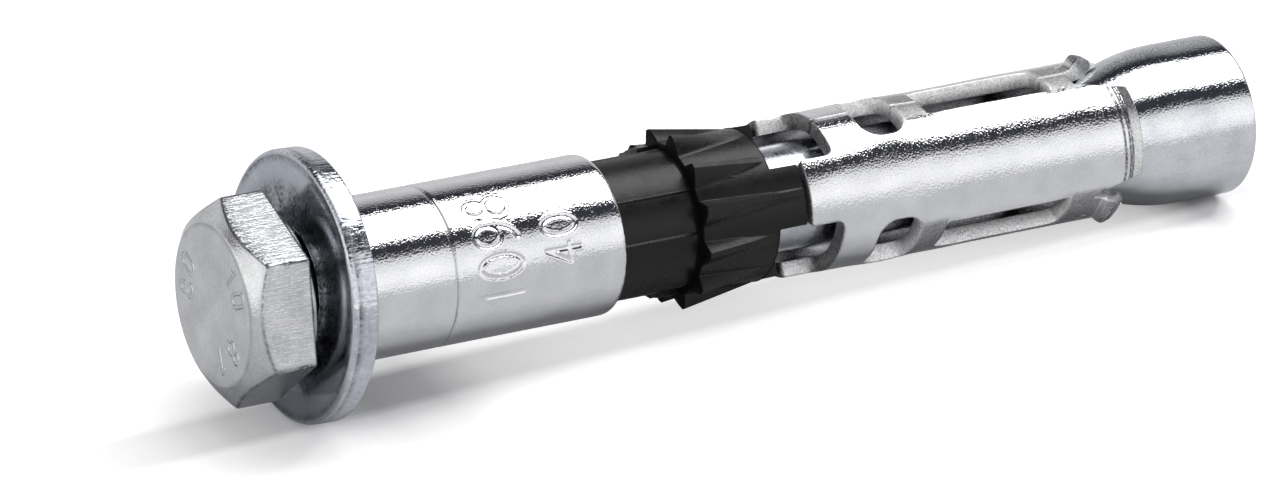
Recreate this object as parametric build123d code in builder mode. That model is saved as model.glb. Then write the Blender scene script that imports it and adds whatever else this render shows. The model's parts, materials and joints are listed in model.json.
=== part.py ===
from build123d import *
import os
from math import asin, atan2, cos, degrees, hypot, radians, sin, tan

# Sleeve anchor with an M10 bolt for a 15 mm hole, lying on a flat surface.
# Every piece is drawn on the bolt's own axis: Z runs from the head to the cone nut, Z = 0 is
# the middle of the washer's front face, and +X is the side that faces up once it lies down.
# Angles go round the axis from +X towards +Y, which is the side seen in front.

# Bolt
shank_diameter = 10.0
thread_pitch = 1.5
thread_length = 33.0
bolt_length = 98.0
end_chamfer = 1.0
head_across_flats = 16.8
head_height = 6.4
head_face_diameter = 14.8
head_corner_drop = 1.65
head_under_bevel = 0.3
head_turn = -12.0
bearing_ring_diameter = 15.6
bearing_ring_height = 0.4
head_gap = 1.2

# Washer, leaning in its play with the shank resting in its bore
washer_diameter = 24.7
washer_thickness = 2.5
washer_bore = 11.0
washer_lean = 2.6
washer_edge_radius = 0.35

# Spacer sleeve between the washer and the collar
spacer_diameter = 14.8
spacer_bore = 10.3
spacer_length = 27.6
spacer_edge_radius = 0.6
groove_distance = 10.3
groove_width = 0.5
groove_depth = 0.12

# Plastic crush collar: a neck, a flange, a ribbed body and three tongues
collar_bore = 10.3
neck_diameter = 13.2
neck_length = 5.5
land_count = 3
land_step = 0.15
land_angle = 36.0
land_turn = 69.0
flange_diameter = 14.1
flange_length = 1.8
body_diameter = 14.2
body_length = 8.7
rib_count = 12
rib_height = 1.25
rib_crest_width = 0.45
rib_steep_width = 0.7
rib_gentle_width = 1.5
rib_turn = 2.0
rib_runout = 0.3
collar_tongue_length = 2.5
collar_tongue_angle = 46.0

# Expansion sleeve, rolled from sheet with its seam in the top slot
sheet_thickness = 1.48
sleeve_diameter = 14.76
sleeve_turn = 4.0
slot_count = 3
sleeve_tongue_angle = 50.0
tongue_length = 3.5
window_corner_radius = 0.8
ring_length = 4.0
keyhole_length = 4.6
keyhole_width = 7.2
keyhole_corner_radius = 1.9
slot_width = 4.1
slot_length = 13.4
slot_corner_radius = 0.6
web_length = 2.8
web_recess = 0.35
lip_width = 3.1
lip_length = 3.0
lip_rise = 1.25
lip_lean = 40.0
lip_side_gap = 0.2
corner_cut_width = 1.1
segment_end_length = 2.0
segment_end_drop = 0.65
segment_line_width = 0.3
segment_line_depth = 0.08
seam_width = 0.35

# Cone nut
cone_diameter = 15.1
cone_length = 15.4
cone_tip_diameter = 10.7
cone_slope = 18.8
cone_edge_radius = 0.45
cone_bore_chamfer = 0.9

# Clearances between pieces
touch_clearance = 0.02
thread_clearance = 0.03
stack_clearance = 0.05
tongue_clearance = 0.6
seat_clearance = 0.15

# Radii and heights along the axis that follow from the sizes above
shank_radius = shank_diameter / 2
thread_radius = shank_radius - 0.3248 * thread_pitch
head_under = -head_gap
head_top = head_under - head_height
head_corner_radius = head_across_flats / 2 / cos(radians(30))
bolt_end = head_under + bolt_length

lean_sin = sin(radians(washer_lean))
lean_cos = cos(radians(washer_lean))
washer_lift = (washer_bore / 2 * lean_cos - washer_thickness / 2 * lean_sin
               - shank_radius - touch_clearance)
washer_back_at_spacer = washer_thickness * lean_cos + (spacer_diameter / 2 - washer_lift) * lean_sin

spacer_start = washer_back_at_spacer + stack_clearance
spacer_end = spacer_start + spacer_length

collar_start = spacer_end + stack_clearance
flange_start = collar_start + neck_length
body_start = flange_start + flange_length
body_end = body_start + body_length
collar_end = body_end + collar_tongue_length

sleeve_radius = sleeve_diameter / 2
sleeve_bore_radius = sleeve_radius - sheet_thickness
sleeve_start = collar_end + tongue_clearance
window_end = sleeve_start + tongue_length
keyhole_start = window_end + ring_length
keyhole_end = keyhole_start + keyhole_length
slot_start = keyhole_end + web_length
slot_end = slot_start + slot_length
web_end = slot_end + web_length
lip_end = web_end + lip_length
segment_line = lip_end + 2 * segment_line_width / 3
sleeve_end = segment_line + segment_end_length
web_radius = sleeve_radius - web_recess
sleeve_end_radius = sleeve_radius - segment_end_drop
slot_pitch = 360 / slot_count

cone_rise = tan(radians(cone_slope))
cone_radius = cone_diameter / 2
cone_tip_radius = cone_tip_diameter / 2
cone_start = segment_line - (sleeve_bore_radius - seat_clearance - cone_tip_radius) / cone_rise
cone_end = cone_start + cone_length
seat_end_radius = cone_tip_radius + (sleeve_end - cone_start) * cone_rise + seat_clearance
outside = sleeve_diameter


def on_ring(radius, angle):
    """The point of a circle about the axis at that angle."""
    return (radius * cos(radians(angle)), radius * sin(radians(angle)))


def ring_sector(inner, outer, start, sweep):
    """A piece of a ring between two radii, from one angle over a sweep."""
    with BuildSketch(mode=Mode.PRIVATE) as sector:
        with BuildLine():
            CenterArc((0, 0), outer, start, sweep)
            CenterArc((0, 0), inner, start, sweep)
            Line(on_ring(inner, start), on_ring(outer, start))
            Line(on_ring(inner, start + sweep), on_ring(outer, start + sweep))
        make_face()
    return sector.sketch


def slot_plane(angle):
    """The plane through the axis that faces out at that angle, its X along the axis."""
    return Plane(origin=(0, 0, 0), x_dir=(0, 0, 1), z_dir=(*on_ring(1, angle), 0))


def section_plane(angle):
    """The plane that cuts the anchor along its axis at that angle, its X pointing outwards."""
    return Plane(origin=(0, 0, 0), x_dir=(*on_ring(1, angle), 0), z_dir=(*on_ring(1, angle - 90), 0))


slot_angles = [sleeve_turn + slot_pitch * number for number in range(slot_count)]
seam_angle = slot_angles[0]


with BuildPart() as hex_bolt:
    with BuildSketch(Plane.XY.offset(head_top)):
        RegularPolygon(head_across_flats / 2, 6, major_radius=False, rotation=head_turn)
    extrude(amount=head_height - bearing_ring_height)
    with BuildSketch(Plane.XZ):
        with BuildLine():
            Polyline(
                (0, head_top),
                (head_face_diameter / 2, head_top),
                (head_corner_radius, head_top + head_corner_drop),
                (head_corner_radius, head_under - bearing_ring_height - head_under_bevel),
                (head_corner_radius - head_under_bevel * 2, head_under - bearing_ring_height),
                (0, head_under - bearing_ring_height),
                close=True,
            )
        make_face()
    revolve(axis=Axis.Z, mode=Mode.INTERSECT)
    with BuildSketch(Plane.XZ):
        with BuildLine():
            Polyline(
                (0, head_under - bearing_ring_height),
                (bearing_ring_diameter / 2, head_under - bearing_ring_height),
                (bearing_ring_diameter / 2, head_under),
                (shank_radius, head_under),
                (shank_radius, bolt_end - thread_length),
                (thread_radius, bolt_end - thread_length + shank_radius - thread_radius),
                (thread_radius, bolt_end - end_chamfer),
                (thread_radius - end_chamfer, bolt_end),
                (0, bolt_end),
                close=True,
            )
        make_face()
    revolve(axis=Axis.Z)

washer_plane = Plane(
    origin=(washer_lift, 0, 0),
    x_dir=(lean_cos, 0, lean_sin),
    z_dir=(-lean_sin, 0, lean_cos),
)
with BuildPart() as washer:
    with BuildSketch(washer_plane):
        Circle(washer_diameter / 2)
        Circle(washer_bore / 2, mode=Mode.SUBTRACT)
    extrude(amount=washer_thickness)
    fillet(washer.edges().filter_by(GeomType.CIRCLE).sort_by(SortBy.RADIUS)[-2:], washer_edge_radius)

with BuildPart() as spacer_sleeve:
    with BuildSketch(Plane.XY.offset(spacer_start)):
        Circle(spacer_diameter / 2)
        Circle(spacer_bore / 2, mode=Mode.SUBTRACT)
    extrude(amount=spacer_length)
    fillet(spacer_sleeve.edges().filter_by(GeomType.CIRCLE).sort_by(SortBy.RADIUS)[-2:], spacer_edge_radius)
    with BuildSketch(Plane.XZ):
        with Locations((spacer_diameter / 2, spacer_start + groove_distance)):
            Rectangle(groove_depth * 2, groove_width)
    revolve(axis=Axis.Z, mode=Mode.SUBTRACT)

# One rib of the collar: a saw tooth that is tallest at the flange and runs out to nothing
rib_foot_radius = body_diameter / 2 - rib_runout
with BuildPart() as rib:
    for height, crest in (
        (body_start, body_diameter / 2 + rib_height),
        (body_end - rib_runout, body_diameter / 2),
    ):
        with BuildSketch(Plane.XY.offset(height)):
            with BuildLine():
                Polyline(
                    (rib_foot_radius, -rib_crest_width / 2 - rib_steep_width),
                    (crest, -rib_crest_width / 2),
                    (crest, rib_crest_width / 2),
                    (rib_foot_radius, rib_crest_width / 2 + rib_gentle_width),
                    close=True,
                )
            make_face()
    loft()

with BuildPart() as crush_collar:
    with BuildSketch(Plane.XZ):
        with BuildLine():
            Polyline(
                (collar_bore / 2, collar_start),
                (neck_diameter / 2, collar_start),
                (neck_diameter / 2, flange_start),
                (flange_diameter / 2, flange_start),
                (flange_diameter / 2, body_start),
                (body_diameter / 2, body_start),
                (body_diameter / 2, collar_end),
                (collar_bore / 2, collar_end),
                close=True,
            )
        make_face()
    revolve(axis=Axis.Z)
    with BuildSketch(Plane.XY.offset(collar_start)):
        with PolarLocations(0, land_count, start_angle=land_turn):
            add(ring_sector(neck_diameter / 2 - land_step, outside, 0, land_angle))
    extrude(amount=neck_length, mode=Mode.SUBTRACT)
    with PolarLocations(0, rib_count, start_angle=rib_turn):
        add(rib.part)
    with BuildSketch(Plane.XY.offset(body_end)):
        with PolarLocations(0, slot_count, start_angle=sleeve_turn):
            gap_angle = slot_pitch - collar_tongue_angle
            add(ring_sector(collar_bore / 4, outside, -gap_angle / 2, gap_angle))
    extrude(amount=collar_tongue_length, mode=Mode.SUBTRACT)

with BuildPart() as expansion_sleeve:
    with BuildSketch(section_plane(seam_angle + 180)):
        with BuildLine():
            Polyline(
                (sleeve_bore_radius, sleeve_start),
                (sleeve_radius, sleeve_start),
                (sleeve_radius, segment_line - segment_line_width),
                (sleeve_radius - segment_line_depth, segment_line - segment_line_width / 2),
                (sleeve_radius, segment_line),
                (sleeve_end_radius, sleeve_end),
                (seat_end_radius, sleeve_end),
                (sleeve_bore_radius, segment_line),
                close=True,
            )
        make_face()
    revolve(axis=Axis.Z)

    # Windows between the tongues at the end next to the collar
    with BuildSketch(Plane.XY.offset(sleeve_start)):
        with PolarLocations(0, slot_count, start_angle=sleeve_turn):
            window_angle = slot_pitch - sleeve_tongue_angle
            add(ring_sector(sleeve_bore_radius / 2, outside, -window_angle / 2, window_angle))
    extrude(amount=tongue_length, mode=Mode.SUBTRACT)
    window_corners = (
        expansion_sleeve.edges()
        .filter_by(GeomType.LINE)
        .filter_by(lambda edge: abs(edge.center().Z - window_end) < touch_clearance)
    )
    fillet(window_corners, window_corner_radius)

    # Bridges between the segments lie lower than the sheet, on each side of the long slots
    for bridge_start in (keyhole_end, slot_end):
        with BuildSketch(Plane.XY.offset(bridge_start)):
            with PolarLocations(0, slot_count, start_angle=sleeve_turn):
                bridge_half = degrees(slot_width / 2 / sleeve_radius)
                add(ring_sector(web_radius, outside, -bridge_half, 2 * bridge_half))
        extrude(amount=web_length, mode=Mode.SUBTRACT)

    for angle in slot_angles:
        with BuildSketch(slot_plane(angle)):
            with Locations(((keyhole_start + keyhole_end) / 2, 0)):
                RectangleRounded(keyhole_length, keyhole_width, keyhole_corner_radius)
            with Locations(((slot_start + slot_end) / 2, 0)):
                RectangleRounded(slot_length, slot_width, slot_corner_radius)
            with BuildLine():
                root_half = lip_width / 2 + lip_side_gap
                mouth_half = root_half + corner_cut_width
                Polyline(
                    (web_end, -root_half),
                    (lip_end, -mouth_half),
                    (sleeve_end + 1, -mouth_half),
                    (sleeve_end + 1, mouth_half),
                    (lip_end, mouth_half),
                    (web_end, root_half),
                    close=True,
                )
            make_face()
        extrude(amount=outside, mode=Mode.SUBTRACT)

        # The lip at the end of the bridge, bent outwards
        lean_back = lip_rise * tan(radians(lip_lean))
        with BuildSketch(section_plane(angle)):
            with BuildLine():
                Polyline(
                    (sleeve_bore_radius, web_end - web_length / 4),
                    (web_radius, web_end - web_length / 4),
                    (web_radius, web_end),
                    (web_radius + lip_rise, lip_end - lean_back),
                    (web_radius + lip_rise / 2, lip_end),
                    (sleeve_bore_radius + lip_rise / 4, web_end + lip_length / 5),
                    (sleeve_bore_radius, web_end),
                    close=True,
                )
            make_face()
        extrude(amount=lip_width / 2, both=angle != seam_angle)

    # The seam splits the ring and the bridges of the first slot, whose lip is on one side only
    with BuildSketch(slot_plane(seam_angle)):
        with Locations(((sleeve_start + sleeve_end) / 2, 0)):
            Rectangle(sleeve_end - sleeve_start + 2, seam_width)
    extrude(amount=outside, mode=Mode.SUBTRACT)

with BuildPart() as cone_nut:
    with BuildSketch(Plane.XZ):
        with BuildLine():
            blend_rise = cone_radius - seat_end_radius + seat_clearance
            blend_radius = blend_rise / (1 - cos(radians(cone_slope)))
            blend_start = sleeve_end
            blend_end = blend_start + blend_radius * sin(radians(cone_slope))
            bore_radius = thread_radius + thread_clearance
            Polyline(
                (cone_radius, blend_end),
                (cone_radius, cone_end),
                (bore_radius, cone_end),
                (bore_radius, cone_start),
                (cone_tip_radius, cone_start),
                (cone_radius - blend_rise, blend_start),
            )
            TangentArc(
                (cone_radius - blend_rise, blend_start),
                (cone_radius, blend_end),
                tangent=(sin(radians(cone_slope)), cos(radians(cone_slope))),
            )
        make_face()
    revolve(axis=Axis.Z)
    end_edges = cone_nut.edges().filter_by(GeomType.CIRCLE).group_by(Axis.Z)[-1].sort_by(SortBy.RADIUS)
    chamfer(end_edges[0], cone_bore_chamfer)
    fillet(end_edges[-1], cone_edge_radius)

# The anchor lies on the rounded edges of the washer's rim and of the cone nut's far end. The
# slope of its axis is that of the line under both edges, and the origin is under the middle of its box.
washer_edge_reach = washer_diameter / 2 - washer_edge_radius
washer_edge_depth = washer_thickness - washer_edge_radius
washer_edge_height = washer_lift - washer_edge_reach * lean_cos - washer_edge_depth * lean_sin
washer_edge_place = washer_edge_depth * lean_cos - washer_edge_reach * lean_sin
edge_drop = washer_edge_height + cone_radius - cone_edge_radius
edge_run = cone_end - cone_edge_radius - washer_edge_place
edge_distance = hypot(edge_drop, edge_run)
lying_slope = asin((washer_edge_radius - cone_edge_radius) / edge_distance) - atan2(edge_drop, edge_run)
lying_plane = Plane(
    origin=(0, 0, 0),
    x_dir=(sin(lying_slope), 0, cos(lying_slope)),
    z_dir=(cos(lying_slope), 0, -sin(lying_slope)),
)
pieces = (hex_bolt, washer, spacer_sleeve, crush_collar, expansion_sleeve, cone_nut)
lying_box = Compound([piece.part.moved(lying_plane.location) for piece in pieces]).bounding_box()
to_floor = Location((-lying_box.center().X, -lying_box.center().Y, -lying_box.min.Z))
for piece in pieces:
    piece.part.move(to_floor * lying_plane.location)
print(f"axis slope {degrees(lying_slope):.3f} degrees, box {lying_box.size}")

os.makedirs("parts", exist_ok=True)
hex_bolt.part.label = "hex_bolt"
export_step(hex_bolt.part, "parts/hex_bolt.step")
washer.part.label = "washer"
export_step(washer.part, "parts/washer.step")
spacer_sleeve.part.label = "spacer_sleeve"
export_step(spacer_sleeve.part, "parts/spacer_sleeve.step")
crush_collar.part.label = "crush_collar"
export_step(crush_collar.part, "parts/crush_collar.step")
expansion_sleeve.part.label = "expansion_sleeve"
export_step(expansion_sleeve.part, "parts/expansion_sleeve.step")
cone_nut.part.label = "cone_nut"
export_step(cone_nut.part, "parts/cone_nut.step")
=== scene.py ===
import json
import bmesh
import bpy
import numpy as np
from mathutils import Matrix, Vector


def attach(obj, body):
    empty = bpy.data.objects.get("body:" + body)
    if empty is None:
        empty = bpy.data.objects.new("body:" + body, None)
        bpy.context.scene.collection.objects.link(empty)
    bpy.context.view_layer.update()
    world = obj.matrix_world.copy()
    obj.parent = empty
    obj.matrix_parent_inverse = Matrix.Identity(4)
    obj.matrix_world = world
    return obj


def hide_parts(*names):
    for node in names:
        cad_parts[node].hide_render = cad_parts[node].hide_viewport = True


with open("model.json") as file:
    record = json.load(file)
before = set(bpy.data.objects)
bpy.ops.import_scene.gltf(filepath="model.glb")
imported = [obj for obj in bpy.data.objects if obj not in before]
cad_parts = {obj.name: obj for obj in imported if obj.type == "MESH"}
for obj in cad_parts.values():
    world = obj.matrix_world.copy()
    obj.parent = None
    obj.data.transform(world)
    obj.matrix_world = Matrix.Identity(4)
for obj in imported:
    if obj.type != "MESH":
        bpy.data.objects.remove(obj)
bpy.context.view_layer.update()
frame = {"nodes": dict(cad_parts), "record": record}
mm = 0.001
weldDistance = 1e-7  # in metres
sharpAngle = 52  # in degrees: edges that turn by more than this are shown sharp

# The anchor's axis: it starts at the middle of the head's face and runs to the cone nut.
# Stations count along it in millimetres, and angles go round it from the top towards the front.
headMount = next(mount for mount in frame["record"]["mounts"] if mount["name"] == "head_face")
axisStart = np.array(headMount["pos_m"])
axisDir = -np.array(headMount["axis"])
upDir = np.array([-axisDir[2], 0.0, axisDir[0]])
frontDir = np.array([0.0, -1.0, 0.0])
axes = np.stack([axisDir, upDir, frontDir])


def nodeSpan(node):
    # lowest and highest place of a node: along the axis, up and to the front
    vertices = frame["nodes"][node].data.vertices
    places = np.empty(len(vertices) * 3, np.float32)
    vertices.foreach_get("co", places)
    local = (places.reshape(-1, 3) - axisStart) @ axes.T / mm
    return local.min(0), local.max(0)


def ringPoints(station, radius, angle):
    # each point lies at its station along the axis, its radius away from it: up r cos a and to the front
    # r sin a
    local = np.stack(np.broadcast_arrays(station, radius * np.cos(angle), radius * np.sin(angle)), -1)
    return (axisStart + local @ axes * mm).reshape(-1, 3)


def gridFaces(rowCount, columnCount, ring=False):
    # four-sided faces of a grid whose last column meets its first, and in a ring its last row too
    number = np.arange(rowCount * columnCount).reshape(rowCount, columnCount)
    if ring:
        number = np.vstack([number, number[:1]])
    beside = np.roll(number, -1, axis=1)
    return np.stack([number[:-1], beside[:-1], beside[1:], number[1:]], -1).reshape(-1, 4)


def easeStep(value, low, high):
    # 0 up to low, 1 from high, and 3t^2 - 2t^3 in between
    share = np.clip((value - low) / (high - low), 0, 1)
    return share * share * (3 - 2 * share)


def easeLine(value, low, high):
    # 0 up to low, 1 from high, and a straight line in between
    return np.clip((value - low) / (high - low), 0, 1)


def bellLine(distance, strength, width):
    # a dark line or a groove: its strength times e to the power of -(distance / width)^2
    return strength * np.exp(-(distance / width) ** 2)


def pairUp(station, reach):
    return np.stack(np.broadcast_arrays(station, reach), -1)


def roundProfile(pairs, columnCount, cuts, steps, guard=0.05):
    # corners are pairs (station, radius), each a number or one value for each column. Every corner becomes
    # the curve (1-t)^2 a + 2t(1-t) corner + t^2 b, where a and b lie its cut away from it along both sides;
    # a guard row beside each keeps the flats flat
    corners = np.stack([pairUp(station, reach + np.zeros(columnCount)) for station, reach in pairs])
    rows = [corners[0]]
    for number in range(1, len(corners) - 1):
        corner = corners[number]
        if cuts[number] == 0:
            rows.append(corner)
            continue
        back, ahead = corners[number - 1] - corner, corners[number + 1] - corner
        back = back / np.linalg.norm(back, axis=-1, keepdims=True)
        ahead = ahead / np.linalg.norm(ahead, axis=-1, keepdims=True)
        start, end = corner + back * cuts[number], corner + ahead * cuts[number]
        rows.append(start + back * guard)
        for t in np.linspace(0, 1, steps + 1):
            rows.append((1 - t) ** 2 * start + 2 * t * (1 - t) * corner + t * t * end)
        rows.append(end + ahead * guard)
    rows.append(corners[-1])
    return np.stack(rows)


def fillRows(rows, spacing):
    # adds rows in a straight line between two rows that lie further apart than the spacing
    filled = [rows[:1]]
    for first, second in zip(rows[:-1], rows[1:]):
        count = max(1, int(np.ceil(np.abs(second - first).max() / spacing)))
        share = np.arange(1, count + 1)[:, None, None] / count
        filled.append(first + (second - first) * share)
    return np.concatenate(filled)


def unevenness(station, angle, seed, length, waves=14):
    # the mean of sine waves in seeded directions, whole numbers of them round the axis
    draw = np.random.default_rng(seed)
    total = np.zeros(np.broadcast(station, angle).shape)
    for number in range(waves):
        rounds = draw.integers(0, 1 + int(45 / length))
        along = draw.uniform(0.3, 1.0) * 2 * np.pi / length
        total = total + np.sin(along * station + rounds * angle + draw.uniform(0, 2 * np.pi))
    return total / np.sqrt(waves)


def makePiece(name, points, faces, body, node, materials, faceMaterials=None, marks=None):
    mesh = bpy.data.meshes.new(name)
    mesh.vertices.add(len(points))
    mesh.vertices.foreach_set("co", np.ascontiguousarray(points, np.float32).ravel())
    mesh.loops.add(faces.size)
    mesh.loops.foreach_set("vertex_index", faces.astype(np.int32).ravel())
    mesh.polygons.add(len(faces))
    mesh.polygons.foreach_set("loop_start", np.arange(0, faces.size, 4, dtype=np.int32))
    if faceMaterials is not None:
        mesh.polygons.foreach_set("material_index", faceMaterials.astype(np.int32))
    for markName, values in (marks or {}).items():
        mark = mesh.attributes.new(markName, "FLOAT", "POINT")
        mark.data.foreach_set("value", np.ascontiguousarray(values, np.float32).ravel())
    mesh.update(calc_edges=True)
    work = bmesh.new()
    work.from_mesh(mesh)
    bmesh.ops.remove_doubles(work, verts=work.verts, dist=weldDistance)
    bmesh.ops.recalc_face_normals(work, faces=work.faces)
    work.to_mesh(mesh)
    work.free()
    mesh.polygons.foreach_set("use_smooth", np.ones(len(mesh.polygons), bool))
    mesh.set_sharp_from_angle(angle=np.radians(sharpAngle))
    for material in materials:
        mesh.materials.append(material)
    piece = bpy.data.objects.new(name, mesh)
    bpy.context.scene.collection.objects.link(piece)
    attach(piece, body)
    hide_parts(node)
    print(f"{name}: {len(mesh.polygons)} faces")


# Materials

def newGroup(name, inputs, outputs):
    # the first input is the place, and each other one's kind follows from its value
    group = bpy.data.node_groups.new(name, "ShaderNodeTree")
    group.interface.new_socket(name="Vector", in_out="INPUT", socket_type="NodeSocketVector")
    for label, value in inputs.items():
        kind = "NodeSocketColor" if isinstance(value, tuple) else "NodeSocketFloat"
        group.interface.new_socket(name=label, in_out="INPUT", socket_type=kind).default_value = value
    for label in outputs:
        kind = "NodeSocketColor" if label == "Color" else "NodeSocketFloat"
        group.interface.new_socket(name=label, in_out="OUTPUT", socket_type=kind)
    return group, group.nodes.new("NodeGroupInput").outputs, group.nodes.new("NodeGroupOutput").inputs


def addNode(tree, kind, settings=None, values=None):
    node = tree.nodes.new(kind)
    for key, value in (settings or {}).items():
        setattr(node, key, value)
    for key, value in (values or {}).items():
        node.inputs[key].default_value = value
    return node


def feed(tree, given, socket):
    # links another node's output to the socket, or sets a plain value there
    if hasattr(given, "is_output"):
        tree.links.new(given, socket)
    else:
        socket.default_value = given


def addNoise(tree, vector, scale, detail, rough):
    node = addNode(tree, "ShaderNodeTexNoise", values={"Detail": detail, "Roughness": rough})
    feed(tree, vector, node.inputs["Vector"])
    feed(tree, scale, node.inputs["Scale"])
    return node.outputs["Fac"]


def mapValue(tree, value, fromLow, fromHigh, toLow, toHigh):
    node = addNode(tree, "ShaderNodeMapRange")
    ends = {"Value": value, "From Min": fromLow, "From Max": fromHigh, "To Min": toLow, "To Max": toHigh}
    for key, given in ends.items():
        feed(tree, given, node.inputs[key])
    return node.outputs["Result"]


def doMath(tree, operation, first, second=0.5):
    node = addNode(tree, "ShaderNodeMath", {"operation": operation})
    feed(tree, first, node.inputs[0])
    feed(tree, second, node.inputs[1])
    return node.outputs[0]


def mixColors(tree, factor, first, second):
    # sockets 6 and 7 are the colours to mix, and output 2 is the mixed one
    node = addNode(tree, "ShaderNodeMix", {"data_type": "RGBA"})
    for key, given in (("Factor", factor), (6, first), (7, second)):
        feed(tree, given, node.inputs[key])
    return node.outputs[2]


def addRamp(tree, value, stops, blue=0.0):
    # a grey that runs in straight lines between the stops, each a place from 0 to 1 and its brightness,
    # with a little blue added, which shows in the dark parts only
    node = addNode(tree, "ShaderNodeValToRGB")
    tree.links.new(value, node.inputs[0])
    elements = node.color_ramp.elements
    elements.remove(elements[1])
    for place, light in stops[1:]:
        elements.new(place).color = (light, light + 0.1 * blue, light + blue, 1)
    light = stops[0][1]
    elements[0].color = (light, light + 0.1 * blue, light + blue, 1)
    return node.outputs[0]


def buildZincGroup():
    # zinc plating: a fine speckle, streaks along the part, broad clouds of tone, and a darker shaded colour
    # by the shade attribute, which carries painted shade and dark lines, broken up by the speckle and
    # streaks
    group, given, result = newGroup("zincPlating", {
        "Speckle Scale": 4.0,
        "Streak": 0.3,
        "Streak Scale": 2.6,
        "Pale": (0.84, 0.843, 0.85, 1),
        "Deep": (0.71, 0.714, 0.725, 1),
        "Grime": (0.05, 0.055, 0.065, 1),
        "Smooth": 0.03,
        "Dull": 0.07,
        "Shade": 0.0,
    }, ["Color", "Roughness", "Height"])
    streaked = addNode(group, "ShaderNodeMapping", values={"Scale": (0.12, 1, 1)})
    group.links.new(given["Vector"], streaked.inputs["Vector"])
    speckle = addNoise(group, given["Vector"], given["Speckle Scale"], 1, 0.5)
    streaks = addNoise(group, streaked.outputs[0], given["Streak Scale"], 1.5, 0.5)
    clouds = addNoise(group, given["Vector"], 0.35, 4, 0.55)
    patches = addNoise(group, given["Vector"], 1.6, 3, 0.6)
    tone = doMath(group, "MULTIPLY", clouds, 0.6)
    tone = doMath(group, "ADD", tone, doMath(group, "MULTIPLY", speckle, 0.4))
    clean = mixColors(group, mapValue(group, tone, 0.36, 0.64, 0, 1), given["Deep"], given["Pale"])
    drawn = doMath(group, "ADD", speckle, doMath(group, "MULTIPLY", streaks, given["Streak"]))
    grime = doMath(group, "DIVIDE", drawn, doMath(group, "ADD", given["Streak"], 1.0))
    shade = doMath(group, "MULTIPLY", given["Shade"], mapValue(group, grime, 0.4, 0.57, 0.35, 1))
    group.links.new(mixColors(group, shade, clean, given["Grime"]), result["Color"])
    rough = mapValue(group, patches, 0.3, 0.7, given["Smooth"], given["Dull"])
    group.links.new(doMath(group, "ADD", rough, doMath(group, "MULTIPLY", shade, 0.2)), result["Roughness"])
    group.links.new(drawn, result["Height"])
    return group


def buildShearGroup():
    # punched edges: torn grain across the sheet, bright crumbs in darker hollows, and painted shade by the
    # shade attribute
    group, given, result = newGroup("shearedGrain", {
        "Scale": 5.0,
        "Crumbs": (0.98, 0.98, 0.98, 1),
        "Hollows": (0.6, 0.6, 0.605, 1),
        "Grime": (0.03, 0.03, 0.034, 1),
        "Shade": 0.0,
    }, ["Color", "Roughness", "Height"])
    grain = addNoise(group, given["Vector"], given["Scale"], 4, 0.65)
    torn = addNoise(group, given["Vector"], 1.7, 3, 0.6)
    height = doMath(group, "ADD", grain, doMath(group, "MULTIPLY", torn, 0.8))
    clean = mixColors(group, mapValue(group, grain, 0.35, 0.6, 0, 1), given["Hollows"], given["Crumbs"])
    shade = doMath(group, "MULTIPLY", given["Shade"], mapValue(group, grain, 0.35, 0.6, 1, 0.8))
    group.links.new(mixColors(group, shade, clean, given["Grime"]), result["Color"])
    group.links.new(mapValue(group, torn, 0.3, 0.7, 0.26, 0.44), result["Roughness"])
    group.links.new(height, result["Height"])
    return group


def buildPlasticGroup():
    # moulded plastic: a fine spark-eroded grain with slightly polished patches
    group, given, result = newGroup("mouldedGrain", {
        "Scale": 7.0,
        "Smooth": 0.24,
        "Dull": 0.36,
        "Pale": (0.004, 0.0037, 0.0034, 1),
        "Deep": (0.0015, 0.0014, 0.0013, 1),
    }, ["Color", "Roughness", "Height"])
    grain = addNoise(group, given["Vector"], given["Scale"], 3, 0.6)
    patches = addNoise(group, given["Vector"], 0.8, 3, 0.5)
    group.links.new(mixColors(group, mapValue(group, grain, 0.35, 0.65, 0, 1), given["Deep"], given["Pale"]),
                    result["Color"])
    group.links.new(mapValue(group, patches, 0.3, 0.7, given["Smooth"], given["Dull"]), result["Roughness"])
    group.links.new(grain, result["Height"])
    return group


def buildFigureGroup(strokes, halfWidth):
    # raised figures on the head's face: a stroke is the outline round a line from a to b at its radius.
    # A place's distance is |distance to the line - radius|, and the height falls off beyond half the width
    group, given, result = newGroup("raisedFigures", {}, ["Height"])
    flat = addNode(group, "ShaderNodeMapping", values={"Scale": (0, 1, 1)})
    group.links.new(given["Vector"], flat.inputs["Vector"])
    nearest = None
    for (fromUp, fromFront), (toUp, toFront), radius in strokes:
        line = Vector((0, toUp - fromUp, toFront - fromFront))
        away = addNode(group, "ShaderNodeVectorMath", {"operation": "SUBTRACT"}, {1: (0, fromUp, fromFront)})
        group.links.new(flat.outputs[0], away.inputs[0])
        along = addNode(group, "ShaderNodeVectorMath", {"operation": "DOT_PRODUCT"},
                        {1: line / max(line.length_squared, 1e-6)})
        group.links.new(away.outputs[0], along.inputs[0])
        share = mapValue(group, along.outputs["Value"], 0, 1, 0, 1)
        foot = addNode(group, "ShaderNodeVectorMath", {"operation": "SCALE"}, {0: line})
        group.links.new(share, foot.inputs["Scale"])
        gap = addNode(group, "ShaderNodeVectorMath", {"operation": "DISTANCE"})
        group.links.new(away.outputs[0], gap.inputs[0])
        group.links.new(foot.outputs[0], gap.inputs[1])
        gap = doMath(group, "ABSOLUTE", doMath(group, "SUBTRACT", gap.outputs["Value"], radius))
        nearest = gap if nearest is None else doMath(group, "MINIMUM", nearest, gap)
    group.links.new(mapValue(group, nearest, halfWidth * 0.5, halfWidth * 1.5, 1, 0), result["Height"])
    return group


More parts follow.
